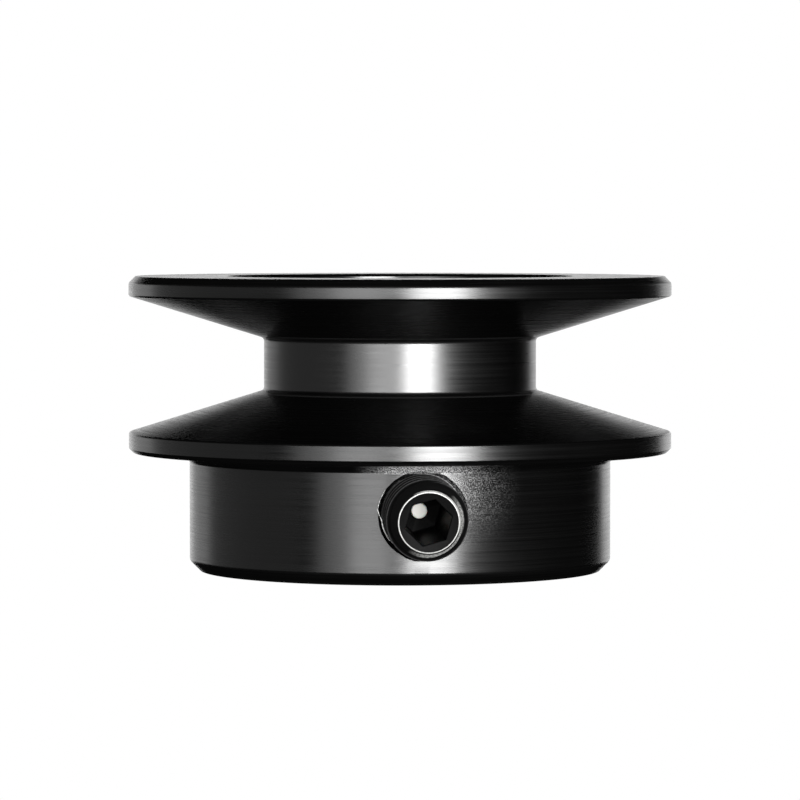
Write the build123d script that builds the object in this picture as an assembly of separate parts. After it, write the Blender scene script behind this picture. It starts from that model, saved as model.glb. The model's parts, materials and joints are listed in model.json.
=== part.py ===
from build123d import *
import math
import os

# A grooved winch drum that is clamped to its shaft by one socket set screw. Millimetres.
# The drum's axis is Z. Its hub stands on z = 0 and the groove and its two flanges are above it.
# The screw points along -Y.

# The drum's outside, turned from one bar
flange_diameter = 55.0
rim_width = 2.0  # each flange's edge, its chamfer included
top_chamfer = 0.68  # on the upper flange's top edge
underside_chamfer = 0.44  # on the lower flange's bottom edge
lip_break = 0.12  # on each band's edge at the groove
groove_width = 13.8  # from lip to lip
groove_angle = 34.5  # between the groove's two walls
root_diameter = 27.6  # the groove's flat bottom
root_fillet = 0.45
hub_diameter = 42.7
hub_height = 12.0
hub_chamfer = 1.05

# The corner where the hub meets the flange above it, left by a round-nosed tool
corner_height = 1.0
corner_reach = 1.05
corner_radius = 2.3

# The shaft bore and the recess around its top end
bore_diameter = 16.0
bore_chamfer = 0.5
recess_diameter = 35.0
recess_depth = 2.2
recess_fillet = 0.6
recess_edge_break = 0.25

# The tapped hole, which leans down so that the drill passes under the flange
hole_lean = 4.0  # degrees below level, going outwards
mouth_below_flange = 0.75  # from the flange's underside to the edge of the hole's mouth
mouth_step = 0.4  # how far the mouth is opened out past the thread, all round
mouth_depth = 0.6
mouth_taper = 0.4

# The set screw, an M8 with a deep 4 mm hexagon socket
thread_diameter = 8.0
thread_clearance = 0.05  # all round, between the screw's crests and the hole
screw_length = 16.0
screw_end_chamfer = 1.0  # on both ends, outside their flats
socket_across_flats = 4.0
socket_depth = 9.0
socket_turn = 15.0  # degrees, of one of the hexagon's corners above level

# The nylon plug through the screw's solid end, which spares the shaft
plug_diameter = 1.56
plug_clearance = 0.04  # all round, in the screw
plug_in_socket = 0.5  # how far it stands up in the socket
plug_stand_out = 0.8  # how far it stands out of the screw's inner end
shaft_gap = 1.47  # from the plug to the shaft's surface, along the screw, which is backed off

# Sizes that follow
flange_radius = flange_diameter / 2
hub_radius = hub_diameter / 2
root_radius = root_diameter / 2
bore_radius = bore_diameter / 2
recess_radius = recess_diameter / 2
hole_radius = thread_diameter / 2
mouth_radius = hole_radius + mouth_step
hole_height = hub_height - mouth_below_flange - mouth_radius  # where its axis meets the hub's side
screw_radius = hole_radius - thread_clearance
lower_lip = hub_height + rim_width
upper_lip = lower_lip + groove_width
drum_height = upper_lip + rim_width
wall_rise = (flange_radius - root_radius) * math.tan(math.radians(groove_angle / 2))
lower_root = lower_lip + wall_rise
upper_root = upper_lip - wall_rise
cut_past = 2.0  # how far a cutting tool runs past the surface that it leaves

# The screw's own frame: its origin is where its axis meets the hub, and its Z points outwards
lean_angle = math.radians(hole_lean)
screw_direction = (0, -math.cos(lean_angle), -math.sin(lean_angle))
screw_frame = Plane(origin=(0, -hub_radius, hole_height), x_dir=(1, 0, 0), z_dir=screw_direction)
shaft_surface = -(hub_radius - bore_radius) / math.cos(lean_angle)
screw_inner_end = shaft_surface + shaft_gap + plug_stand_out
screw_outer_end = screw_inner_end + screw_length
socket_bottom = screw_outer_end - socket_depth


def placed_on_screw_axis(shape):
    """Carries a shape from the screw's own frame into the drum's."""
    return screw_frame.location * shape


def turned(points):
    """Turns a closed outline of (radius, height) points round the Z axis."""
    face = make_face(Polyline(*points, close=True))
    return revolve(Plane.XZ * face, Axis.Z, 360)


def corners_at(face, places):
    """The corners of a flat face that are at the given (radius, height) places."""
    found = []
    for place in places:
        found.append(face.vertices().sort_by_distance(Vector(place[0], place[1], 0))[0])
    return found


def drum_outline():
    """Half of the drum's section, as a face in (radius, height)."""
    half_break = lip_break * math.tan(math.radians(groove_angle / 2))
    lower_left = (bore_radius, 0)
    recess_floor = drum_height - recess_depth
    hub_side_top = hub_height - corner_height
    below_corner = Polyline(
        lower_left,
        (hub_radius - hub_chamfer, 0),
        (hub_radius, hub_chamfer),
        (hub_radius, hub_side_top),
    )
    corner = RadiusArc(
        (hub_radius, hub_side_top),
        (hub_radius + corner_reach, hub_height),
        -corner_radius,
    )
    above_corner = Polyline(
        (hub_radius + corner_reach, hub_height),
        (flange_radius - underside_chamfer, hub_height),
        (flange_radius, hub_height + underside_chamfer),
        (flange_radius, lower_lip - lip_break),
        (flange_radius - lip_break, lower_lip + half_break),
        (root_radius, lower_root),
        (root_radius, upper_root),
        (flange_radius - lip_break, upper_lip - half_break),
        (flange_radius, upper_lip + lip_break),
        (flange_radius, drum_height - top_chamfer),
        (flange_radius - top_chamfer, drum_height),
        (recess_radius, drum_height),
        (recess_radius, recess_floor),
        (bore_radius, recess_floor),
        lower_left,
    )
    face = make_face(below_corner + corner + above_corner)
    face = fillet(corners_at(face, [(root_radius, lower_root), (root_radius, upper_root)]), root_fillet)
    face = fillet(corners_at(face, [(recess_radius, recess_floor)]), recess_fillet)
    face = chamfer(corners_at(face, [(recess_radius, drum_height)]), recess_edge_break)
    return chamfer(corners_at(face, [lower_left, (bore_radius, recess_floor)]), bore_chamfer)


def tapped_hole_cut():
    """What the drill and the tap take out of the hub, from inside the bore to outside the rim."""
    taper_start = -mouth_depth - mouth_taper
    outside = flange_radius
    inside = shaft_surface - cut_past
    return placed_on_screw_axis(
        turned(
            [
                (0, inside),
                (hole_radius, inside),
                (hole_radius, taper_start),
                (mouth_radius, -mouth_depth),
                (mouth_radius, outside),
                (0, outside),
            ]
        )
    )


def make_drum():
    body = revolve(Plane.XZ * drum_outline(), Axis.Z, 360)
    return body - tapped_hole_cut()


def make_set_screw():
    face_radius = screw_radius - screw_end_chamfer
    blank = turned(
        [
            (0, screw_inner_end),
            (face_radius, screw_inner_end),
            (screw_radius, screw_inner_end + screw_end_chamfer),
            (screw_radius, screw_outer_end - screw_end_chamfer),
            (face_radius, screw_outer_end),
            (0, screw_outer_end),
        ]
    )
    corner_to_corner = socket_across_flats / math.cos(math.radians(30))
    hexagon = RegularPolygon(corner_to_corner / 2, 6, rotation=socket_turn)
    socket = Pos(0, 0, socket_bottom) * extrude(hexagon, socket_depth + cut_past)
    plug_hole_radius = plug_diameter / 2 + plug_clearance
    plug_hole_length = socket_bottom - screw_inner_end + 2 * cut_past
    plug_hole_centre = (socket_bottom + screw_inner_end) / 2
    plug_hole = Pos(0, 0, plug_hole_centre) * Cylinder(plug_hole_radius, plug_hole_length)
    return placed_on_screw_axis(blank - socket - plug_hole)


def make_screw_plug():
    top = socket_bottom + plug_in_socket
    bottom = screw_inner_end - plug_stand_out
    plug = Pos(0, 0, (top + bottom) / 2) * Cylinder(plug_diameter / 2, top - bottom)
    return placed_on_screw_axis(plug)


os.makedirs("parts", exist_ok=True)
export_step(make_drum(), "parts/drum.step")
export_step(make_set_screw(), "parts/set_screw.step")
export_step(make_screw_plug(), "parts/screw_plug.step")

print("screw axis points along", [round(value, 6) for value in screw_direction])
print("screw axis meets the hub at height", round(hole_height, 3))
print("screw from", round(screw_inner_end, 3), "to", round(screw_outer_end, 3), "along its axis")
print("drum height", round(drum_height, 3), "root from", round(lower_root, 3), "to", round(upper_root, 3))
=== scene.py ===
# %% [markdown]
# # A grooved winch drum and its set screw
#
# The object is one drum, turned from a steel bar and blackened, with a socket set screw in its hub. The
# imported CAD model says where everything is. This script keeps those sizes, gives each piece the finish of
# the real one, and adds what a CAD solid leaves out: the thread, the worn edges and the turning marks.

# %% Load the frame
import json
import math

import bmesh
import bpy
from mathutils import Matrix, Vector, noise
from mathutils.bvhtree import BVHTree


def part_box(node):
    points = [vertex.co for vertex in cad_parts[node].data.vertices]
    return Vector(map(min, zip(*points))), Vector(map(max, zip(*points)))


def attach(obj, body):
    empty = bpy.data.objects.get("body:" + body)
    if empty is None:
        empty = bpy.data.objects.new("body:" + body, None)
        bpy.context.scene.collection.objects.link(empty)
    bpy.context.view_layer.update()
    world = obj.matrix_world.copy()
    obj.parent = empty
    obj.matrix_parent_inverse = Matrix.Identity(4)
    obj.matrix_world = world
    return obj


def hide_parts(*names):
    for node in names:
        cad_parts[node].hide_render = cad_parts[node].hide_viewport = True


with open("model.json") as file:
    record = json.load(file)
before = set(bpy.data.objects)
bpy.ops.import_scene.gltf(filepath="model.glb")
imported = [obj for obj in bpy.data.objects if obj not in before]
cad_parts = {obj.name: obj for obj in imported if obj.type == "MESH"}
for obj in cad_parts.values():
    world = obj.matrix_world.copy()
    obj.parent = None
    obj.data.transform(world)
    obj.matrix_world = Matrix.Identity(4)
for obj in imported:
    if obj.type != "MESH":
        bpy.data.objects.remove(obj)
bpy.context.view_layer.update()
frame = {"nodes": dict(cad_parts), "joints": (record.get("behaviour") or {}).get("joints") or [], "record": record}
MM = 0.001

# %% [markdown]
# ## Camera
#
# A small turned part is looked at from far away through a long lens, so that circles stay flat and the
# sides stay upright. The eye is only a little above the drum: the top face is a thin line and the hub's
# lower edge is a shallow curve. The camera stands a few degrees to the left of the screw's own direction.

# %% Camera
CAMERA_AZIMUTH = math.radians(-6.1)
CAMERA_DISTANCE = 442 * MM
CAMERA_HEIGHT = 35.5 * MM
AIM_HEIGHT = 17.2 * MM
LENS_MM = 196.0


def on_circle(azimuth, radius, height):
    """A point at an azimuth that is 0 on the screw's side, -Y, and grows towards +X."""
    return Vector((radius * math.sin(azimuth), -radius * math.cos(azimuth), height))


def add_camera():
    """The scene's camera, with the lens and the stand that the values above give."""
    camera = bpy.data.objects.new("camera", bpy.data.cameras.new("camera"))
    bpy.context.scene.collection.objects.link(camera)
    camera.data.lens = LENS_MM
    camera.data.clip_start = 10 * MM
    camera.location = on_circle(CAMERA_AZIMUTH, CAMERA_DISTANCE, CAMERA_HEIGHT)
    looking = Vector((0, 0, AIM_HEIGHT)) - camera.location
    camera.rotation_euler = looking.to_track_quat("-Z", "Y").to_euler()
    bpy.context.scene.camera = camera
    return camera


camera = add_camera()
bpy.context.scene.view_settings.view_transform = "Standard"
print("camera at", [round(v / MM, 1) for v in camera.location], "mm")

# %% [markdown]
# ## Colours and nodes
#
# Colours are written as sRGB hex values, as a paint chart gives them, and one function turns them into
# the linear numbers that a shader needs. One more function adds a node, sets it and links it.

# %% Colour and node helpers


def linear(hex_colour):
    """An sRGB hex colour as linear red, green, blue and alpha."""
    values = []
    for start in (1, 3, 5):
        value = int(hex_colour[start:start + 2], 16) / 255
        values.append(value / 12.92 if value <= 0.04045 else ((value + 0.055) / 1.055) ** 2.4)
    return (*values, 1.0)


def add_node(tree, kind, inputs=None, **settings):
    """Adds a node. An input is either a value or another node's output, which is linked."""
    node = tree.nodes.new(kind)
    for name, value in settings.items():
        setattr(node, name, value)
    for name, value in (inputs or {}).items():
        if isinstance(value, bpy.types.NodeSocket):
            tree.links.new(value, node.inputs[name])
        else:
            node.inputs[name].default_value = value
    return node


def new_material(name, **shader_values):
    """A material with one Principled shader, whose even values are set on its own sockets."""
    material = bpy.data.materials.new(name)
    material.use_nodes = True
    tree = material.node_tree
    shader = tree.nodes["Principled BSDF"]
    for socket, value in shader_values.items():
        shader.inputs[socket.replace("_", " ")].default_value = value
    return material, tree, shader


print("a mid grey of #808080 is", round(linear("#808080")[0], 3), "as a linear number")

# %% [markdown]
# ## Studio
#
# The part stands on a white light table against a white sweep. Black metal shows only what it reflects,
# so its look is made by what stands round it. A strip light to the right of the lens gives the bright
# stripe, and two weaker soft boxes to its left give the grey half. The white walls on the left and the
# sweep behind show at the grazing edges. The light table is lit from inside, so the part throws almost no
# shadow.

# %% Studio lights
LIGHT_DISTANCE = 0.9


def add_light(name, azimuth, elevation, width, height, power):
    """A soft box that faces the drum. Its azimuth and elevation are in degrees, from the camera's side."""
    data = bpy.data.lights.new(name, "AREA")
    data.shape = "RECTANGLE"
    data.size = width
    data.size_y = height
    data.energy = power
    light = bpy.data.objects.new(name, data)
    bpy.context.scene.collection.objects.link(light)
    up = math.radians(elevation)
    height_of_light = AIM_HEIGHT + LIGHT_DISTANCE * math.sin(up)
    way = CAMERA_AZIMUTH + math.radians(azimuth)
    light.location = on_circle(way, LIGHT_DISTANCE * math.cos(up), height_of_light)
    looking = Vector((0, 0, AIM_HEIGHT)) - light.location
    light.rotation_euler = looking.to_track_quat("-Z", "Y").to_euler()
    light.visible_camera = False
    return light


# name: azimuth and elevation in degrees, width and height in metres, power in watts
LIGHTS = {
    "strip_light_right": (16.5, 2, 0.38, 0.45, 18.0),
    "soft_box_left": (-16, 2, 0.34, 0.45, 3.4),
    "soft_box_far_left": (-35, 2, 0.26, 0.45, 0.8),
    "sweep_behind": (173.5, 0.5, 1.06, 0.40, 1.85),
    "wall_left": (-95, 2, 1.5, 0.5, 0.65),
    "wall_left_behind": (-142, 1, 0.5, 0.32, 0.4),
}
for light_name, values in LIGHTS.items():
    add_light(light_name, *values)
print("lights:", list(LIGHTS))

# %% Light table and sweep
STAGE_RADIUS = 3.0


def add_stage_mesh(name, bm):
    """A part of the studio that is seen but doesn't belong to the object."""
    mesh = bpy.data.meshes.new(name)
    bm.to_mesh(mesh)
    bm.free()
    stage = bpy.data.objects.new(name, mesh)
    bpy.context.scene.collection.objects.link(stage)
    return stage


def lit_white(name):
    """White acrylic lit from inside. It is clear from its back, so the drum's underside can be seen."""
    material, tree, shader = new_material(
        name,
        Base_Color=linear("#000000"),
        Roughness=0.9,
        Specular_IOR_Level=0.0,
        Emission_Color=linear("#ffffff"),
        Emission_Strength=1.0,
    )
    from_behind = add_node(tree, "ShaderNodeNewGeometry").outputs["Backfacing"]
    clear = add_node(tree, "ShaderNodeBsdfTransparent").outputs[0]
    lit = shader.outputs[0]
    either = add_node(tree, "ShaderNodeMixShader", {0: from_behind, 1: lit, 2: clear}).outputs[0]
    tree.links.new(either, tree.nodes["Material Output"].inputs["Surface"])
    return material


def add_studio_surfaces():
    """The table under the drum and the sweep round it. The soft boxes are reflected in their place."""
    bm = bmesh.new()
    bmesh.ops.create_circle(bm, cap_ends=True, segments=64, radius=STAGE_RADIUS)
    table = add_stage_mesh("light_table", bm)
    bm = bmesh.new()
    bmesh.ops.create_icosphere(bm, subdivisions=4, radius=STAGE_RADIUS)
    bmesh.ops.reverse_faces(bm, faces=bm.faces)
    sweep = add_stage_mesh("white_sweep", bm)
    table.data.materials.append(lit_white("light_table_acrylic"))
    sweep.data.materials.append(lit_white("white_sweep_paper"))
    for stage in (table, sweep):
        stage.visible_glossy = False
        stage.visible_diffuse = False
        stage.visible_shadow = False
    return table, sweep


stage_pieces = add_studio_surfaces()
world = bpy.data.worlds.new("studio_dark")
world.use_nodes = True
world.node_tree.nodes["Background"].inputs["Color"].default_value = linear("#0e0e0e")
bpy.context.scene.world = world
print("stage:", [stage.name for stage in stage_pieces])

# %% [markdown]
# ## Measuring the drum
#
# The drum is made again here as a finer turned shape, so its sizes are taken from the CAD drum itself. A
# ray sent in towards the axis at some height gives the drum's radius there.

# %% Measure the drum
DRUM_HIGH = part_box("drum")[1]
drum_tree = BVHTree.FromObject(frame["nodes"]["drum"], bpy.context.evaluated_depsgraph_get())


def radius_at(height):
    """The drum's outer radius at a height, measured on its +X side."""
    start = Vector((DRUM_HIGH.x * 2, 0, height))
    hit = drum_tree.ray_cast(start, Vector((-1, 0, 0)))[0]
    return hit.x


def top_height_at(radius):
    """The height of the drum's upper end at a radius, measured on its +X side."""
    start = Vector((radius, 0, DRUM_HIGH.z * 2))
    hit = drum_tree.ray_cast(start, Vector((0, 0, -1)))[0]
    return hit.z


screw_joint = next(j for j in frame["joints"] if j["name"] == "screw_turn")
SCREW_MOUTH = Vector(screw_joint["pos_m"])
SCREW_OUT = Vector(screw_joint["axis"]).normalized()
mounts = {mount["name"]: mount for mount in frame["record"]["mounts"]}
BORE_RADIUS = mounts["shaft_bore"]["dims"]["r_mm"] * MM

FLANGE_RADIUS = DRUM_HIGH.x
DRUM_HEIGHT = DRUM_HIGH.z
HUB_RADIUS = radius_at(SCREW_MOUTH.z)
GROOVE_MIDDLE = mounts["line_groove"]["pos_m"][2]
ROOT_RADIUS = radius_at(GROOVE_MIDDLE)
RECESS_FLOOR = top_height_at(BORE_RADIUS * 1.5)
radii = {"flange": FLANGE_RADIUS, "hub": HUB_RADIUS, "root": ROOT_RADIUS, "bore": BORE_RADIUS}
print("radii in mm:", {name: round(radius / MM, 2) for name, radius in radii.items()})
print("recess floor at", round(RECESS_FLOOR / MM, 2), "mm of", round(DRUM_HEIGHT / MM, 2))

# %% [markdown]
# ## Black oxide on turned steel
#
# The drum is mild steel, turned on a lathe and blackened in a hot salt bath. The bath leaves a thin dark
# film that follows every turning mark, and the oil on it gives a soft shine. So the surface is nearly
# black, the shine is that of a thin clear film, and the marks run round the axis on every face. A pattern
# wrapped round the drum as an image would stretch on the flat faces. One that reads the radius and the
# height is as fine everywhere, as a lathe leaves it. A slow change along the way round lets each mark fade.

# %% Turning marks
FEED_PITCH_MM = 0.27  # the lathe's feed per turn
FINE_MARK_MM = 0.07  # chatter inside one feed mark, drawn a little coarser than it is
STREAK_LENGTH_MM = 9.0  # how far one scratch runs round before it fades


def lathe_coordinates(tree):
    """The place; radius, height and way round as one vector; radius; and height: all in millimetres."""
    place = add_node(tree, "ShaderNodeTexCoord").outputs["Object"]
    in_mm = add_node(
        tree, "ShaderNodeVectorMath", {0: place, 1: (1 / MM, 1 / MM, 1 / MM)}, operation="MULTIPLY"
    ).outputs[0]
    parts = add_node(tree, "ShaderNodeSeparateXYZ", {0: in_mm})
    x, y = parts.outputs["X"], parts.outputs["Y"]
    flat = add_node(tree, "ShaderNodeCombineXYZ", {"X": x, "Y": y}).outputs[0]
    radius = add_node(tree, "ShaderNodeVectorMath", {0: flat}, operation="LENGTH").outputs["Value"]
    angle = add_node(tree, "ShaderNodeMath", {0: y, 1: x}, operation="ARCTAN2").outputs[0]
    way_round = add_node(tree, "ShaderNodeMath", {0: angle, 1: radius}, operation="MULTIPLY").outputs[0]
    marks = add_node(
        tree, "ShaderNodeCombineXYZ", {"X": radius, "Y": parts.outputs["Z"], "Z": way_round}
    ).outputs[0]
    return in_mm, marks, radius, parts.outputs["Z"]


def marks_noise(tree, marks, pitch_mm, length_mm, detail):
    """A pattern with one pitch across the marks and a much longer one along them."""
    scaled = add_node(
        tree,
        "ShaderNodeVectorMath",
        {0: marks, 1: (1 / pitch_mm, 1 / pitch_mm, 1 / length_mm)},
        operation="MULTIPLY",
    ).outputs[0]
    pattern = add_node(
        tree, "ShaderNodeTexNoise", {"Vector": scaled, "Scale": 1.0, "Detail": detail, "Roughness": 0.55}
    )
    return pattern.outputs["Fac"]


def remapped(tree, value, low, high, to_low, to_high):
    """A value stretched from one range to another and held at its ends."""
    return add_node(
        tree,
        "ShaderNodeMapRange",
        {"Value": value, "From Min": low, "From Max": high, "To Min": to_low, "To Max": to_high},
    ).outputs["Result"]


def times(tree, first, second):
    """One value times another."""
    return add_node(tree, "ShaderNodeMath", {0: first, 1: second}, operation="MULTIPLY").outputs[0]


def plus(tree, first, second):
    """One value and another added up."""
    return add_node(tree, "ShaderNodeMath", {0: first, 1: second}, operation="ADD").outputs[0]


print("feed marks in each millimetre:", round(1 / FEED_PITCH_MM, 1))

# %% [markdown]
# Round the tapped hole the film is worn, probably by the tap's chips and the key, so the surface is grainy
# there: the grain is in the roughness and the bump. Its bright flecks are bare steel showing through, and
# they are also painted into the colour as bright grey, which stands for the glints that the grain gives in
# the strip light's highlight. So they are partly wear and partly painted highlight. Most of it is above the
# hole, in the corner under the flange, and to the upper right. It fades out a few millimetres from there.
# The grain could be an image laid on the hub, but a noise that is masked by the distance from one point
# needs no seam and no place to be cut out.

# %% Grain round the hole's mouth
GRAIN_SIZE_MM = 0.11  # drawn coarser than the real grain, so that it shows
GRAIN_CENTRE_MM = (3.3, 0.4, 2.5)  # from the middle of the hole's mouth
GRAIN_REACH_MM = 7.4
CORNER_PATCH_MM = (10.85, 11.75)  # the heights of the corner's patch, whose bright flecks are partly wear and partly painted glints
CORNER_CENTRE_MM = (0, 0, 4.4)
CORNER_PATCH_REACH_MM = 7.0
CORNER_PATCH_EDGE_MM = 0.15


def grain_round_mouth(tree, place_mm, height):
    """A speckle, how much of it shows at each point, and how much of the corner patch above the hole each point is
    in.
    """
    centre = SCREW_MOUTH / MM + Vector(GRAIN_CENTRE_MM)
    away = add_node(
        tree, "ShaderNodeVectorMath", {0: place_mm, 1: centre}, operation="DISTANCE"
    ).outputs["Value"]
    near = remapped(tree, away, 0.1 * GRAIN_REACH_MM, GRAIN_REACH_MM, 1.0, 0.0)
    near = times(tree, near, near)  # squared, so that it fades out without an edge
    speckle = add_node(
        tree, "ShaderNodeTexNoise", {"Vector": place_mm, "Scale": 1 / GRAIN_SIZE_MM, "Detail": 2.0}
    ).outputs["Fac"]
    above = SCREW_MOUTH / MM + Vector(CORNER_CENTRE_MM)
    sideways = add_node(
        tree, "ShaderNodeVectorMath", {0: place_mm, 1: above}, operation="DISTANCE"
    ).outputs["Value"]
    beside = remapped(tree, sideways, 0.4 * CORNER_PATCH_REACH_MM, CORNER_PATCH_REACH_MM, 1.0, 0.0)
    beside = times(tree, beside, beside)
    low, high = CORNER_PATCH_MM
    above_low = remapped(tree, height, low, low + CORNER_PATCH_EDGE_MM, 0.0, 1.0)
    below_high = remapped(tree, height, high - CORNER_PATCH_EDGE_MM, high, 1.0, 0.0)
    return speckle, near, times(tree, times(tree, above_low, below_high), beside)


print("grains across the worn patch:", round(2 * GRAIN_REACH_MM / GRAIN_SIZE_MM))

# %% [markdown]
# The groove is the third part of the drum's finish. Its flat bottom has lost most of its film, so it
# shines like dark bare steel. Its two walls look dull, as if they held no oil, so they get a copy of the
# finish with almost no shine. That is a second material on the same piece, because a shine that is even
# all over belongs on the shader itself.

# %% The drum's finish
FILM_DARK = "#030303"
FILM_LIGHT = "#060606"
FILM_ROUGHNESS = (0.22, 0.29)
MARKS_RANGE = (0.7, 1.3)  # where two added noises mostly lie
PATCHES_PER_MM = 0.12  # so the patches that are a little duller are about 8 mm across
# painted highlight: the flecks round the mouth are bare steel, painted bright grey to stand for the glints they
# give in the highlight
FLECK_AND_GLINT_COLOUR = "#7c7c7c"
# painted highlight: the corner patch's flecks are bare steel, painted light grey to stand for the glints they give
CORNER_FLECK_AND_GLINT_COLOUR = "#b4b4b4"
ROOT_COLOUR = "#484848"  # bare steel that shines through what is left of its film
ROOT_ROUGHER = 0.06  # the groove's bottom is cut by the tip of a form tool and left as it is
GROOVE_HALF_MM = 6.9  # from the groove's middle to each lip
WALL_START_MM = 0.5  # how far past the root's radius its bare steel starts to fade
WALL_FADE_MM = 0.5
WALL_SHINE = 0.04  # the specular level of a film without oil; 0.5 is usual


def black_oxide_turned_steel(name, **shader_values):
    """The drum's finish: a dark film, turning marks, wear round the hole with its flecks painted bright as glints,
    and bare steel at the root.
    """
    material, tree, shader = new_material(name, IOR=1.5, **shader_values)
    place, marks, radius, height = lathe_coordinates(tree)
    feed = marks_noise(tree, marks, FEED_PITCH_MM, STREAK_LENGTH_MM * 8, 1.0)
    fine = marks_noise(tree, marks, FINE_MARK_MM, STREAK_LENGTH_MM, 2.0)
    patches = add_node(
        tree, "ShaderNodeTexNoise", {"Vector": place, "Scale": PATCHES_PER_MM, "Detail": 3.0}
    ).outputs["Fac"]
    speckle, near_mouth, corner_patch = grain_round_mouth(tree, place, height)

    grain = times(tree, remapped(tree, speckle, 0.35, 0.65, -0.03, 0.05), near_mouth)
    # painted highlight: flecks of bright grey in the colour, partly bare steel and partly painted glints
    flecks_and_glints = times(tree, remapped(tree, speckle, 0.5, 0.62, 0.0, 0.9), near_mouth)
    # painted highlight: the whole corner patch is lifted towards light grey, with flecks that are partly bare
    # steel and partly painted glints
    corner_flecks_and_glints = times(tree, remapped(tree, speckle, 0.44, 0.6, 0.08, 1.0), corner_patch)

    mixed = plus(tree, feed, fine)
    shade = remapped(tree, mixed, *MARKS_RANGE, 0.0, 1.0)
    tone = add_node(
        tree, "ShaderNodeMixRGB", {"Fac": shade, "Color1": linear(FILM_DARK), "Color2": linear(FILM_LIGHT)}
    ).outputs[0]
    # painted highlight: both kinds of fleck are mixed into the film's colour as bright grey
    for painted_highlight, bare in ((flecks_and_glints, FLECK_AND_GLINT_COLOUR), (corner_flecks_and_glints, CORNER_FLECK_AND_GLINT_COLOUR)):
        tone = add_node(
            tree, "ShaderNodeMixRGB", {"Fac": painted_highlight, "Color1": tone, "Color2": linear(bare)}
        ).outputs[0]
    rough = remapped(tree, mixed, *MARKS_RANGE, *FILM_ROUGHNESS)
    rough = plus(tree, rough, remapped(tree, patches, 0.3, 0.7, -0.02, 0.03))
    from_middle = add_node(
        tree, "ShaderNodeMath", {0: height, 1: GROOVE_MIDDLE / MM}, operation="SUBTRACT"
    ).outputs[0]
    from_middle = add_node(tree, "ShaderNodeMath", {0: from_middle}, operation="ABSOLUTE").outputs[0]
    in_groove = remapped(tree, from_middle, GROOVE_HALF_MM - 0.1, GROOVE_HALF_MM + 0.1, 1.0, 0.0)
    wall_start = ROOT_RADIUS / MM + WALL_START_MM
    near_root = remapped(tree, radius, wall_start, wall_start + WALL_FADE_MM, 1.0, 0.0)
    at_root = times(tree, near_root, in_groove)
    rough = plus(tree, rough, times(tree, at_root, ROOT_ROUGHER))
    tone = add_node(
        tree, "ShaderNodeMixRGB", {"Fac": at_root, "Color1": tone, "Color2": linear(ROOT_COLOUR)}
    ).outputs[0]
    tree.links.new(tone, shader.inputs["Base Color"])
    tree.links.new(at_root, shader.inputs["Metallic"])
    tree.links.new(plus(tree, rough, grain), shader.inputs["Roughness"])
    feed_bump = add_node(
        tree, "ShaderNodeBump", {"Height": feed, "Strength": 0.25, "Distance": 0.006 * MM}
    ).outputs[0]
    fine_bump = add_node(
        tree,
        "ShaderNodeBump",
        {"Height": fine, "Strength": 0.3, "Distance": 0.003 * MM, "Normal": feed_bump},
    ).outputs[0]
    grain_height = times(tree, speckle, near_mouth)
    grain_bump = add_node(
        tree,
        "ShaderNodeBump",
        {"Height": grain_height, "Strength": 0.3, "Distance": 0.007 * MM, "Normal": fine_bump},
    ).outputs[0]
    tree.links.new(grain_bump, shader.inputs["Normal"])
    return material


BLACK_OXIDE = black_oxide_turned_steel("black_oxide_turned_steel")
DULL_OXIDE = black_oxide_turned_steel("dull_oxide_groove_walls", Specular_IOR_Level=WALL_SHINE)
print("materials:", BLACK_OXIDE.name, DULL_OXIDE.name)

# %% [markdown]
# ## The drum's outside
#
# The drum could be put together from cylinders and cones, but a turned part is one outline swept round an
# axis, and a spin of a row of vertices makes exactly that. The outline is the CAD drum's, with its
# corners broken by a few hundredths of a millimetre as a file would break them, because a corner that is
# perfectly sharp catches no light.

# %% Drum outline
RIM_WIDTH = 2.0 * MM  # the straight side of each flange
TOP_CHAMFER = 0.68 * MM
UNDERSIDE_CHAMFER = 0.44 * MM
LIP_BREAK = 0.12 * MM  # the small chamfer where each rim meets the groove
GROOVE_SLOPE = math.tan(math.radians(17.25))  # half of the V's 34.5 degrees
ROOT_FILLET = 0.45 * MM
HUB_CHAMFER = 1.05 * MM
HUB_HEIGHT = 12.0 * MM
CORNER_HEIGHT = 1.0 * MM  # the hollow corner between the hub and the flange starts this far below it
CORNER_REACH = 1.05 * MM  # and goes this far out
CORNER_RADIUS = 2.3 * MM
BORE_CHAMFER = 0.5 * MM
RECESS_RADIUS = 17.5 * MM
RECESS_FILLET = 0.6 * MM
RECESS_EDGE = 0.25 * MM
EDGE_BREAK = 0.05 * MM
TOP_ROUNDING = 0.5 * MM
HUB_ROUNDING = 0.6 * MM


def rounded(corner, before, after, radius, points=5):
    """Points along the arc that rounds a corner of an outline."""
    corner, before, after = Vector(corner), Vector(before), Vector(after)
    to_before = (before - corner).normalized()
    to_after = (after - corner).normalized()
    half = to_before.angle(to_after) / 2
    middle = corner + (to_before + to_after).normalized() * radius / math.sin(half)
    start = corner + to_before * radius / math.tan(half) - middle
    turn = -start.angle_signed(corner + to_after * radius / math.tan(half) - middle)
    arc = []
    for step in range(points):
        arc.append(tuple(middle + Matrix.Rotation(turn * step / (points - 1), 2) @ start))
    return arc


def arc_between(start, end, radius, points=8):
    """Points along an arc from start to end that bulges in towards the drum's axis."""
    start, end = Vector(start), Vector(end)
    chord = end - start
    across = Vector((chord.y, -chord.x)).normalized()
    depth = math.sqrt(radius**2 - chord.length_squared / 4)
    middle = (start + end) / 2 + across * depth
    sweep = (start - middle).angle_signed(end - middle)
    arc = []
    for step in range(points):
        arc.append(tuple(middle + Matrix.Rotation(-sweep * step / (points - 1), 2) @ (start - middle)))
    return arc


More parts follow.
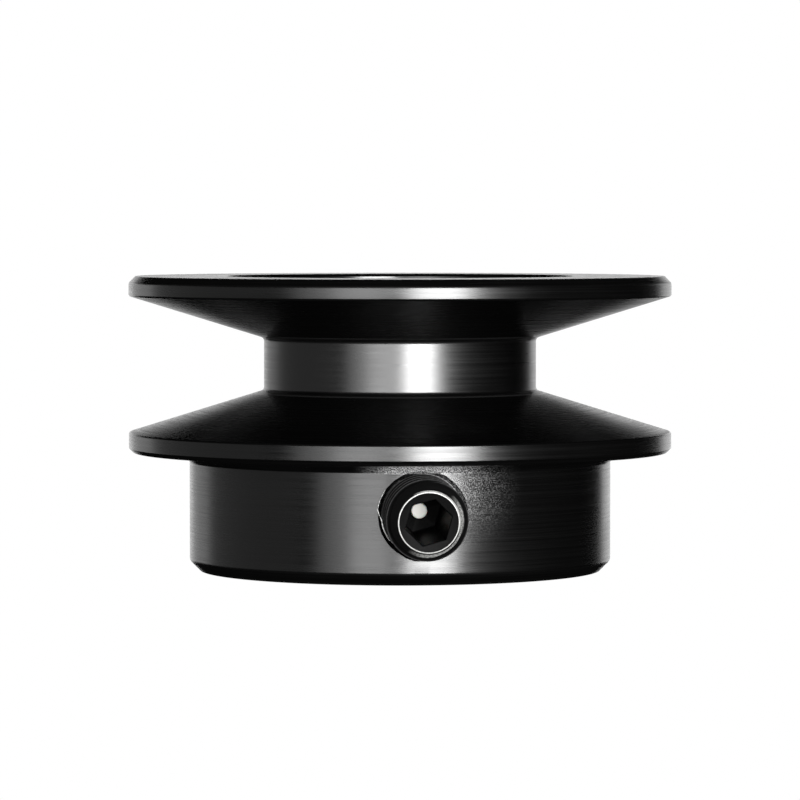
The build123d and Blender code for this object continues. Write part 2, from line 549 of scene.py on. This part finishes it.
def drum_outline():
    """The drum's half section as (radius, height), from the bore's lower end round to its upper end."""
    lower_lip = HUB_HEIGHT + RIM_WIDTH
    upper_lip = DRUM_HEIGHT - RIM_WIDTH
    rise = (FLANGE_RADIUS - ROOT_RADIUS) * GROOVE_SLOPE
    lower_wall = (FLANGE_RADIUS - LIP_BREAK, lower_lip + LIP_BREAK * GROOVE_SLOPE)
    upper_wall = (FLANGE_RADIUS - LIP_BREAK, upper_lip - LIP_BREAK * GROOVE_SLOPE)
    lower_root = (ROOT_RADIUS, lower_lip + rise)
    upper_root = (ROOT_RADIUS, upper_lip - rise)
    hub_side_top = (HUB_RADIUS, HUB_HEIGHT - CORNER_HEIGHT)
    rim_bottom = (FLANGE_RADIUS, upper_lip + LIP_BREAK)
    top_edge = (FLANGE_RADIUS - TOP_CHAMFER, DRUM_HEIGHT)
    recess_corner = (RECESS_RADIUS, RECESS_FLOOR)
    recess_top = (RECESS_RADIUS, DRUM_HEIGHT - RECESS_EDGE)
    floor_edge = (BORE_RADIUS + BORE_CHAMFER, RECESS_FLOOR)
    return [
        (BORE_RADIUS + BORE_CHAMFER, 0),
        (HUB_RADIUS - HUB_CHAMFER, 0),
        *rounded((HUB_RADIUS, HUB_CHAMFER), (HUB_RADIUS - HUB_CHAMFER, 0), hub_side_top, HUB_ROUNDING),
        *arc_between(hub_side_top, (HUB_RADIUS + CORNER_REACH, HUB_HEIGHT), CORNER_RADIUS),
        (FLANGE_RADIUS - UNDERSIDE_CHAMFER, HUB_HEIGHT),
        (FLANGE_RADIUS, HUB_HEIGHT + UNDERSIDE_CHAMFER),
        (FLANGE_RADIUS, lower_lip - LIP_BREAK),
        lower_wall,
        *rounded(lower_root, lower_wall, upper_root, ROOT_FILLET),
        *rounded(upper_root, lower_root, upper_wall, ROOT_FILLET),
        upper_wall,
        rim_bottom,
        *rounded((FLANGE_RADIUS, DRUM_HEIGHT - TOP_CHAMFER), rim_bottom, top_edge, TOP_ROUNDING),
        top_edge,
        (RECESS_RADIUS + RECESS_EDGE, DRUM_HEIGHT),
        recess_top,
        *rounded(recess_corner, recess_top, floor_edge, RECESS_FILLET),
        floor_edge,
        (BORE_RADIUS, RECESS_FLOOR - BORE_CHAMFER),
        (BORE_RADIUS, BORE_CHAMFER),
    ]


outline = drum_outline()
print("outline points:", len(outline))

# %% Spin the outline
STEPS_ROUND_DRUM = 360
SMALLEST_CORNER = math.radians(14)  # a turn of the outline that is less than this is left as it is


def spun(points, steps, closed=True):
    """A bmesh of (radius, height) points turned right round the Z axis."""
    bm = bmesh.new()
    verts = [bm.verts.new((radius, 0, height)) for radius, height in points]
    for first, second in zip(verts, verts[1:]):
        bm.edges.new((first, second))
    if closed:
        bm.edges.new((verts[-1], verts[0]))
    bmesh.ops.spin(
        bm,
        geom=bm.verts[:] + bm.edges[:],
        cent=(0, 0, 0),
        axis=(0, 0, 1),
        angle=math.tau,
        steps=steps,
        use_merge=True,
    )
    bmesh.ops.remove_doubles(bm, verts=bm.verts, dist=0.0001 * MM)
    bmesh.ops.recalc_face_normals(bm, faces=bm.faces)
    return bm


def break_corners(bm, width):
    """Bevels each edge that runs round the axis where the outline turns."""
    corners = []
    for edge in bm.edges:
        first, second = (vert.co for vert in edge.verts)
        level = abs(first.z - second.z) < 0.001 * MM
        round_axis = level and abs(first.xy.length - second.xy.length) < 0.001 * MM
        if round_axis and len(edge.link_faces) == 2 and edge.calc_face_angle() > SMALLEST_CORNER:
            corners.append(edge)
    bmesh.ops.bevel(
        bm,
        geom=corners,
        offset=width,
        offset_type="OFFSET",
        affect="EDGES",
        segments=3,
        profile=0.5,
        material=-1,
    )
    return len(corners)


def new_piece(name, bm, material, body):
    """A finished piece: a mesh object at the origin that rides on a body and says what its finish is."""
    bm.normal_update()
    mesh = bpy.data.meshes.new(name)
    bm.to_mesh(mesh)
    bm.free()
    piece = bpy.data.objects.new(name, mesh)
    bpy.context.scene.collection.objects.link(piece)
    piece.data.materials.append(material)
    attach(piece, body)
    return piece


drum_bm = spun(outline, STEPS_ROUND_DRUM)
print("corners broken:", break_corners(drum_bm, EDGE_BREAK))

# %% [markdown]
# ## The thread
#
# The screw and its hole are built upright at the origin, and one matrix then carries them to the hub. A
# thread could be a Screw modifier's, but that one ends in the open and would have to be trimmed and
# capped. Here it is one pitch of outline that climbs as it goes round: each column of vertices is the
# same outline, lifted a little more than the last, and the last column meets the first one pitch higher.
# Where a thread ends, the vertices are held at the end's height and inside its chamfer, and the ones that
# meet are joined.

# %% The screw's own frame
screw_side = Vector((1, 0, 0))
screw_up = SCREW_OUT.cross(screw_side)
TO_SCREW = Matrix((screw_side, screw_up, SCREW_OUT)).transposed().to_4x4()
TO_SCREW.translation = SCREW_MOUTH
THREAD_PITCH = 1.25 * MM
CREST_RADIUS = 3.95 * MM
THREAD_DEPTH = 0.717 * MM  # 17/24 of the height of a sharp 60 degree thread
CREST_FLAT = 1 / 8  # of the pitch
ROOT_FLAT = 1 / 4
THREAD_GAP = 0.07 * MM  # between the screw's thread and the hole's
STEPS_ROUND = 96
FLANK_POINTS = 5


def thread_outline(crest):
    """One pitch of thread as (share of the pitch, radius), from the middle of one crest to the next."""
    root = crest - THREAD_DEPTH
    flank = (1 - CREST_FLAT - ROOT_FLAT) / 2
    points = [(0, crest)]
    for step in range(FLANK_POINTS + 1):
        down = step / FLANK_POINTS
        points.append((CREST_FLAT / 2 + flank * down, crest - THREAD_DEPTH * down))
    points.append((0.5, root - 0.04 * MM))
    for step in range(FLANK_POINTS + 1):
        back = step / FLANK_POINTS
        points.append((0.5 + ROOT_FLAT / 2 + flank * back, root + THREAD_DEPTH * back))
    return points


def threaded(outline, low, high, most, other_points):
    """A closed body: a threaded wall from low to high, no wider than most(height), then the other points.

    other_points(angle) gives the rest of a column as (radius, height), from the wall's top to its bottom.
    """
    bm = bmesh.new()
    columns = []
    for step in range(STEPS_ROUND + 1):
        share = step / STEPS_ROUND
        angle = math.tau * share
        column = []
        for turn in range(math.floor(low / THREAD_PITCH) - 2, math.ceil(high / THREAD_PITCH) + 2):
            for part, radius in outline:
                height = min(max((turn + part + share) * THREAD_PITCH, low), high)
                column.append((min(radius, most(height)), height))
        column += other_points(angle)
        columns.append([bm.verts.new((r * math.cos(angle), r * math.sin(angle), z)) for r, z in column])
    for left, right in zip(columns, columns[1:]):
        for i in range(len(left)):
            j = (i + 1) % len(left)
            bm.faces.new((left[i], right[i], right[j], left[j]))
    bmesh.ops.remove_doubles(bm, verts=bm.verts, dist=0.002 * MM)
    bmesh.ops.dissolve_degenerate(bm, edges=bm.edges, dist=0.002 * MM)
    bmesh.ops.recalc_face_normals(bm, faces=bm.faces)
    return bm


print("points in one pitch:", len(thread_outline(CREST_RADIUS)))

# %% [markdown]
# ## The tapped hole
#
# The hole is drilled through the hub's side on the screw's axis and tapped. Its mouth is opened out a
# little and the tap has left it ragged. A cutter with that shape is taken away from the drum with a
# boolean, which is also how the real hole comes about.

# %% The hole's cutter
HOLE_RADIUS = 4.0 * MM
MOUTH_RADIUS = 4.4 * MM
MOUTH_DEPTH = 0.6 * MM
MOUTH_TAPER = 0.4 * MM
RAGGED = 0.09 * MM
WALL_HALF = 6.7 * MM  # the dull walls reach this far from the groove's middle, short of each lip


def ragged(angle):
    """How far the mouth's edge strays from a true circle, at an angle round the screw."""
    where = Vector((math.cos(angle), math.sin(angle), 0))
    return RAGGED * (noise.noise(where * 2.3) + 0.6 * noise.noise(where * 9.0))


def hole_cutter():
    """The tapped hole as a solid, from past the bore's wall to past the flange, with its ragged mouth."""
    inside = -(HUB_RADIUS - BORE_RADIUS) - 2 * MM
    outside = FLANGE_RADIUS - HUB_RADIUS
    wall_end = -MOUTH_DEPTH - MOUTH_TAPER

    def mouth(angle):
        edge = MOUTH_RADIUS + ragged(angle)
        return [(HOLE_RADIUS, wall_end), (edge, -MOUTH_DEPTH), (edge, outside), (0, outside), (0, inside)]

    outline = thread_outline(CREST_RADIUS + THREAD_GAP)
    bm = threaded(outline, inside, wall_end, lambda height: HOLE_RADIUS, mouth)
    bmesh.ops.transform(bm, matrix=TO_SCREW, verts=bm.verts)
    return bm


def with_hole(bm, cutter_bm):
    """The drum with the cutter's shape taken away."""
    solids = []
    for name, source in (("drum_blank", bm), ("hole_cutter", cutter_bm)):
        mesh = bpy.data.meshes.new(name)
        source.to_mesh(mesh)
        source.free()
        solid = bpy.data.objects.new(name, mesh)
        bpy.context.scene.collection.objects.link(solid)
        solids.append(solid)
    blank, cutter = solids
    cut = blank.modifiers.new("hole", "BOOLEAN")
    cut.operation = "DIFFERENCE"
    cut.solver = "EXACT"
    cut.object = cutter
    evaluated = blank.evaluated_get(bpy.context.evaluated_depsgraph_get())
    result = bmesh.new()
    result.from_mesh(evaluated.to_mesh())
    for solid in solids:
        bpy.data.meshes.remove(solid.data)
    return result


def shade_like_metal(piece, sharp_degrees=40):
    """Smooth shading that keeps real corners sharp and big faces flat."""
    piece.data.shade_smooth()
    piece.data.set_sharp_from_angle(angle=math.radians(sharp_degrees))
    weighted = piece.modifiers.new("flat_faces", "WEIGHTED_NORMAL")
    weighted.mode = "FACE_AREA"
    weighted.keep_sharp = True


drum_bm = with_hole(drum_bm, hole_cutter())
turned_drum = new_piece("turned_drum", drum_bm, BLACK_OXIDE, "drum_body")
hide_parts("drum")
shade_like_metal(turned_drum)
turned_drum.data.materials.append(DULL_OXIDE)
wall_faces = 0
for face in turned_drum.data.polygons:
    on_wall = face.center.xy.length > ROOT_RADIUS + ROOT_FILLET
    if on_wall and abs(face.center.z - GROOVE_MIDDLE) < WALL_HALF:
        face.material_index = 1
        wall_faces += 1
print("drum faces:", len(turned_drum.data.polygons), "of which on the groove's walls:", wall_faces)

# %% [markdown]
# ## The small pieces' finishes
#
# The screw is heat-treated alloy steel with a thicker, duller black film than the drum's, so its faces
# stay dark. Its bright ring round the end face, wider towards the upper right, the bright part of its
# chamfer on one side and its lighter thread crests are painted highlights: bright colour where these edges
# catch the light. The plug is nylon without dye, moulded and cut to length, so it is a slightly warm white,
# with a little light passing into it. The burr is torn steel with no film. The painted highlights could be
# thin pieces of their own, but they are bands in the screw's material, at a distance from its axis.

# %% Screw steel, nylon and bare steel
HIGHLIGHT_RING_MM = (2.86, 3.01)  # the painted highlight ring's two radii
WIDE_RING_MM = (2.96, 3.12)  # where it is wider, towards the upper right
WIDE_SIDE = math.radians(48)
HIGHLIGHT_CHAMFER_MM = (3.08, 3.52)  # the part of the chamfer that is painted bright as a highlight
HIGHLIGHT_SIDE = math.radians(-38)  # the middle of that part, round the screw
NEAR_FACE_MM = (4.0, 4.2)  # the painted highlights begin at this height above the mouth, so the inner end has none
# painted highlight: the radii at the thread's crests that are painted lighter
CREST_HIGHLIGHT_MM = (3.84, 3.93)
SCREW_GRAIN_MM = 0.16


def blackened_screw_steel():
    """The screw's finish: a dull film, with painted highlights on the ring round its face, on one side of its
    chamfer and on the thread's crests.
    """
    material, tree, shader = new_material("blackened_screw_steel", IOR=1.5, Specular_IOR_Level=0.02)
    place = add_node(tree, "ShaderNodeTexCoord").outputs["Object"]
    turned = add_node(
        tree,
        "ShaderNodeMapping",
        {"Vector": place, "Location": SCREW_MOUTH, "Rotation": TO_SCREW.to_euler()},
        vector_type="TEXTURE",
    ).outputs[0]
    in_mm = add_node(
        tree, "ShaderNodeVectorMath", {0: turned, 1: (1 / MM, 1 / MM, 1 / MM)}, operation="MULTIPLY"
    ).outputs[0]
    parts = add_node(tree, "ShaderNodeSeparateXYZ", {0: in_mm})
    x, y = parts.outputs["X"], parts.outputs["Y"]
    flat = add_node(tree, "ShaderNodeCombineXYZ", {"X": x, "Y": y}).outputs[0]
    radius = add_node(tree, "ShaderNodeVectorMath", {0: flat}, operation="LENGTH").outputs["Value"]
    grain = add_node(
        tree, "ShaderNodeTexNoise", {"Vector": in_mm, "Scale": 1 / SCREW_GRAIN_MM, "Detail": 2.0}
    ).outputs["Fac"]

    def band(low, high, soft):
        """1 between two distances from the screw's axis and 0 outside them."""
        rise = remapped(tree, radius, low, low + soft, 0.0, 1.0)
        return times(tree, rise, remapped(tree, radius, high - soft, high, 1.0, 0.0))

    def towards(way, low, high):
        """1 on one side of the screw and 0 on the other."""
        direction = (math.cos(way), math.sin(way), 0)
        along = add_node(tree, "ShaderNodeVectorMath", {0: flat, 1: direction}, operation="DOT_PRODUCT")
        share = add_node(tree, "ShaderNodeMath", {0: along.outputs["Value"], 1: radius}, operation="DIVIDE")
        return remapped(tree, share.outputs[0], low, high, 0.0, 1.0)

    # painted highlight: a bright ring round the face, wider towards the upper right, and a bright part of the
    # chamfer on one side
    near_face = remapped(tree, parts.outputs["Z"], *NEAR_FACE_MM, 0.0, 1.0)
    wide = times(tree, band(*WIDE_RING_MM, 0.04), towards(WIDE_SIDE, 0.3, 0.75))
    ring = add_node(
        tree, "ShaderNodeMath", {0: band(*HIGHLIGHT_RING_MM, 0.05), 1: wide}, operation="MAXIMUM"
    ).outputs[0]
    ring = times(tree, times(tree, ring, near_face), remapped(tree, grain, 0.3, 0.55, 0.55, 0.9))
    chamfer = times(tree, band(*HIGHLIGHT_CHAMFER_MM, 0.1), near_face)
    chamfer = times(tree, chamfer, towards(HIGHLIGHT_SIDE, 0.05, 0.62))
    chamfer = times(tree, chamfer, remapped(tree, grain, 0.36, 0.62, 0.18, 0.65))
    painted_highlight = add_node(tree, "ShaderNodeMath", {0: ring, 1: chamfer}, operation="MAXIMUM").outputs[0]
    film = add_node(
        tree, "ShaderNodeMixRGB", {"Fac": grain, "Color1": linear("#060606"), "Color2": linear("#0c0c0c")}
    ).outputs[0]
    # painted highlight: the thread's crests are made lighter in the colour to stand for the light they catch
    crest = remapped(tree, radius, *CREST_HIGHLIGHT_MM, 0.0, 1.0)
    crest = times(tree, crest, remapped(tree, grain, 0.3, 0.6, 0.4, 1.0))
    film = add_node(
        tree, "ShaderNodeMixRGB", {"Fac": crest, "Color1": film, "Color2": linear("#3a3a3a")}
    ).outputs[0]
    # painted highlight: the ring and the chamfer's part are mixed towards bright steel in the colour
    colour = add_node(
        tree, "ShaderNodeMixRGB", {"Fac": painted_highlight, "Color1": film, "Color2": linear("#b4b4b2")}
    ).outputs[0]
    tree.links.new(colour, shader.inputs["Base Color"])
    tree.links.new(times(tree, painted_highlight, 0.35), shader.inputs["Metallic"])
    tree.links.new(remapped(tree, grain, 0.3, 0.7, 0.34, 0.46), shader.inputs["Roughness"])
    bump = add_node(
        tree, "ShaderNodeBump", {"Height": grain, "Strength": 0.3, "Distance": 0.006 * MM}
    ).outputs[0]
    tree.links.new(bump, shader.inputs["Normal"])
    return material


def natural_nylon():
    """The plug's finish, moulded and matt."""
    return new_material(
        "natural_nylon",
        Base_Color=linear("#c6c5c0"),
        IOR=1.53,
        Roughness=0.45,
        Subsurface_Weight=0.15,
        Subsurface_Scale=0.3 * MM,
    )[0]


def bare_steel_burr():
    """The burr's finish: torn steel, rough and bright."""
    return new_material("bare_steel_burr", Base_Color=linear("#d8d8d6"), Metallic=0.6, Roughness=0.4)[0]


SCREW_STEEL = blackened_screw_steel()
NYLON = natural_nylon()
BURR_STEEL = bare_steel_burr()
print("materials:", SCREW_STEEL.name, NYLON.name, BURR_STEEL.name)

# %% [markdown]
# ## The set screw
#
# An M8 set screw is cut from alloy steel bar: a thread, a 45 degree chamfer on both ends, and a hexagon
# socket that is pressed in with a punch. It is blackened like the drum, and the ring between its chamfer
# and its end face is a painted highlight in its material. A small hole goes on from the socket's floor to the
# inner end and holds the plug. The socket could be cut out with a boolean, but here each column of the
# thread goes on over the end face and down the socket, so the screw is one closed skin from the start.

# %% Set screw
along_screw = [(TO_SCREW.inverted() @ vert.co).z for vert in frame["nodes"]["set_screw"].data.vertices]
SCREW_FACE = max(along_screw)
SCREW_END = min(along_screw)
END_RADIUS = 2.95 * MM
ACROSS_FLATS = 4.0 * MM
SOCKET_DEPTH = 9.0 * MM
SOCKET_TURN = math.radians(15)
SOCKET_LEAD = 0.16 * MM  # the small cone that lets the key in
PLUG_HOLE_RADIUS = 0.82 * MM
FLOOR_CONE = 0.35 * MM
RING_WIDTH = 0.17 * MM


def hexagon(angle, across_flats):
    """The distance from a hexagon's middle to its side at an angle."""
    from_flat = (angle - SOCKET_TURN) % math.radians(60) - math.radians(30)
    return across_flats / 2 / math.cos(from_flat)


def within_ends(height):
    """The widest that the screw may be at a height, with both ends chamfered at 45 degrees."""
    return END_RADIUS + 0.04 * MM + min(SCREW_FACE - 0.04 * MM - height, height - SCREW_END)


def screw_inside(angle):
    """A column's points over the bright ring, down the socket, through the plug's hole and back out."""
    side = hexagon(angle, ACROSS_FLATS)
    floor = SCREW_FACE - SOCKET_DEPTH
    return [
        (END_RADIUS + 0.01 * MM, SCREW_FACE - 0.012 * MM),
        (END_RADIUS - 0.03 * MM, SCREW_FACE),
        (END_RADIUS - 0.10 * MM, SCREW_FACE),
        (END_RADIUS - RING_WIDTH, SCREW_FACE - 0.03 * MM),
        (side + SOCKET_LEAD, SCREW_FACE - 0.03 * MM),
        (side + SOCKET_LEAD * 0.4, SCREW_FACE - 0.06 * MM),
        (side, SCREW_FACE - SOCKET_LEAD - 0.03 * MM),
        (side, floor + 0.12 * MM),
        (side - 0.12 * MM, floor),
        (PLUG_HOLE_RADIUS + 0.08 * MM, floor - FLOOR_CONE),
        (PLUG_HOLE_RADIUS, floor - FLOOR_CONE - 0.08 * MM),
        (PLUG_HOLE_RADIUS, SCREW_END),
    ]


screw_bm = threaded(
    thread_outline(CREST_RADIUS), SCREW_END, SCREW_FACE - 0.04 * MM, within_ends, screw_inside
)
bmesh.ops.transform(screw_bm, matrix=TO_SCREW, verts=screw_bm.verts)
socket_set_screw = new_piece("socket_set_screw", screw_bm, SCREW_STEEL, "screw_body")
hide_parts("set_screw")
shade_like_metal(socket_set_screw, 25)
print("screw faces:", len(socket_set_screw.data.polygons))

# %% [markdown]
# ## The nylon plug
#
# The plug is a short rod of natural nylon, pushed into the screw. It stands out at the inner end, where
# it meets the shaft, and its other end shows at the bottom of the socket. It could be a cylinder with a
# bevel, but its outline is spun like the drum's, which gives it the rounded ends in the same step.

# %% Nylon plug
PLUG_RADIUS = 0.78 * MM
PLUG_INNER = SCREW_END - 0.8 * MM
PLUG_OUTER = SCREW_FACE - SOCKET_DEPTH + 0.5 * MM
PLUG_ROUNDING = 0.12 * MM


def plug_bm():
    """The plug: its half outline with both ends rounded, spun and carried to the screw."""
    points = [(0, PLUG_INNER)]
    for end, way in ((PLUG_INNER, 1), (PLUG_OUTER, -1)):
        arc = []
        for step in range(5):
            turn = math.radians(90) * step / 4
            arc.append((
                PLUG_RADIUS - PLUG_ROUNDING * (1 - math.sin(turn)),
                end + way * PLUG_ROUNDING * (1 - math.cos(turn)),
            ))
        points += arc if way == 1 else arc[::-1]
    points.append((0, PLUG_OUTER))
    bm = spun(points, 64, closed=False)
    bmesh.ops.transform(bm, matrix=TO_SCREW, verts=bm.verts)
    return bm


nylon_plug = new_piece("nylon_plug", plug_bm(), NYLON, "plug_body")
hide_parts("screw_plug")
shade_like_metal(nylon_plug)
print("plug faces:", len(nylon_plug.data.polygons))

# %% [markdown]
# ## The burr on the hole's mouth
#
# The tap pushed up a thin feather of steel on one side of the mouth. It has lost its black film, so it is
# the brightest thing near the hole. It starts on the mouth's edge and then leans in towards the screw. A
# curve with a bevel could draw it, but rings of vertices along a path let it follow the hub's round side
# and change its thickness on the way.

# %% Burr
BURR_START = math.radians(146)
BURR_LEAVES_EDGE = math.radians(172)
BURR_REACHES_THREAD = math.radians(188)
BURR_END = math.radians(217)
BURR_INNER_RADIUS = 4.05 * MM
BURR_THICKNESS = (0.028 * MM, 0.065 * MM)  # along the mouth's edge and where it leans in
BURR_STEPS = 60
BURR_SIDES = 8


def on_hub(side, up, lift):
    """A point in the screw's frame that lies on the hub's round side, lifted off it by a small amount."""
    depth = math.sqrt(HUB_RADIUS**2 - side**2)
    from_axis = SCREW_MOUTH.y + up * screw_up.y
    return Vector((side, up, (-depth - from_axis) / SCREW_OUT.y + lift))


def burr_path(share):
    """The burr's middle line, from its start on the edge to its end near the thread, and its thickness."""
    angle = BURR_START + (BURR_END - BURR_START) * share
    leaning = (angle - BURR_LEAVES_EDGE) / (BURR_REACHES_THREAD - BURR_LEAVES_EDGE)
    leaning = min(max(leaning, 0), 1)
    on_edge = MOUTH_RADIUS + ragged(angle) + 0.03 * MM
    radius = on_edge + (BURR_INNER_RADIUS - on_edge) * leaning**2 * (3 - 2 * leaning)
    thin, thick = BURR_THICKNESS
    middle = on_hub(radius * math.cos(angle), radius * math.sin(angle), 0.03 * MM)
    return middle, thin + (thick - thin) * leaning


def burr_bm():
    """The burr: rings of vertices along its path, joined up and closed at both ends."""
    bm = bmesh.new()
    rings = []
    for step in range(BURR_STEPS + 1):
        share = step / BURR_STEPS
        middle, thickness = burr_path(share)
        outward = Vector((middle.x, middle.y, 0)).normalized()
        taper = math.sin(math.pi * min(max(share, 0.02), 0.98)) ** 0.5
        thick = thickness * taper * (1 + 0.6 * noise.noise(middle / MM * 4))
        ring = []
        for side in range(BURR_SIDES):
            turn = math.tau * side / BURR_SIDES
            lift = Vector((0, 0, thick * math.sin(turn)))
            ring.append(bm.verts.new(middle + outward * thick * math.cos(turn) + lift))
        rings.append(ring)
    for first, second in zip(rings, rings[1:]):
        for side in range(BURR_SIDES):
            after = (side + 1) % BURR_SIDES
            bm.faces.new((first[side], first[after], second[after], second[side]))
    bm.faces.new(rings[0][::-1])
    bm.faces.new(rings[-1])
    bmesh.ops.recalc_face_normals(bm, faces=bm.faces)
    bmesh.ops.transform(bm, matrix=TO_SCREW, verts=bm.verts)
    return bm


mouth_burr = new_piece("mouth_burr", burr_bm(), BURR_STEEL, "drum_body")
shade_like_metal(mouth_burr, 60)
print("burr faces:", len(mouth_burr.data.polygons))
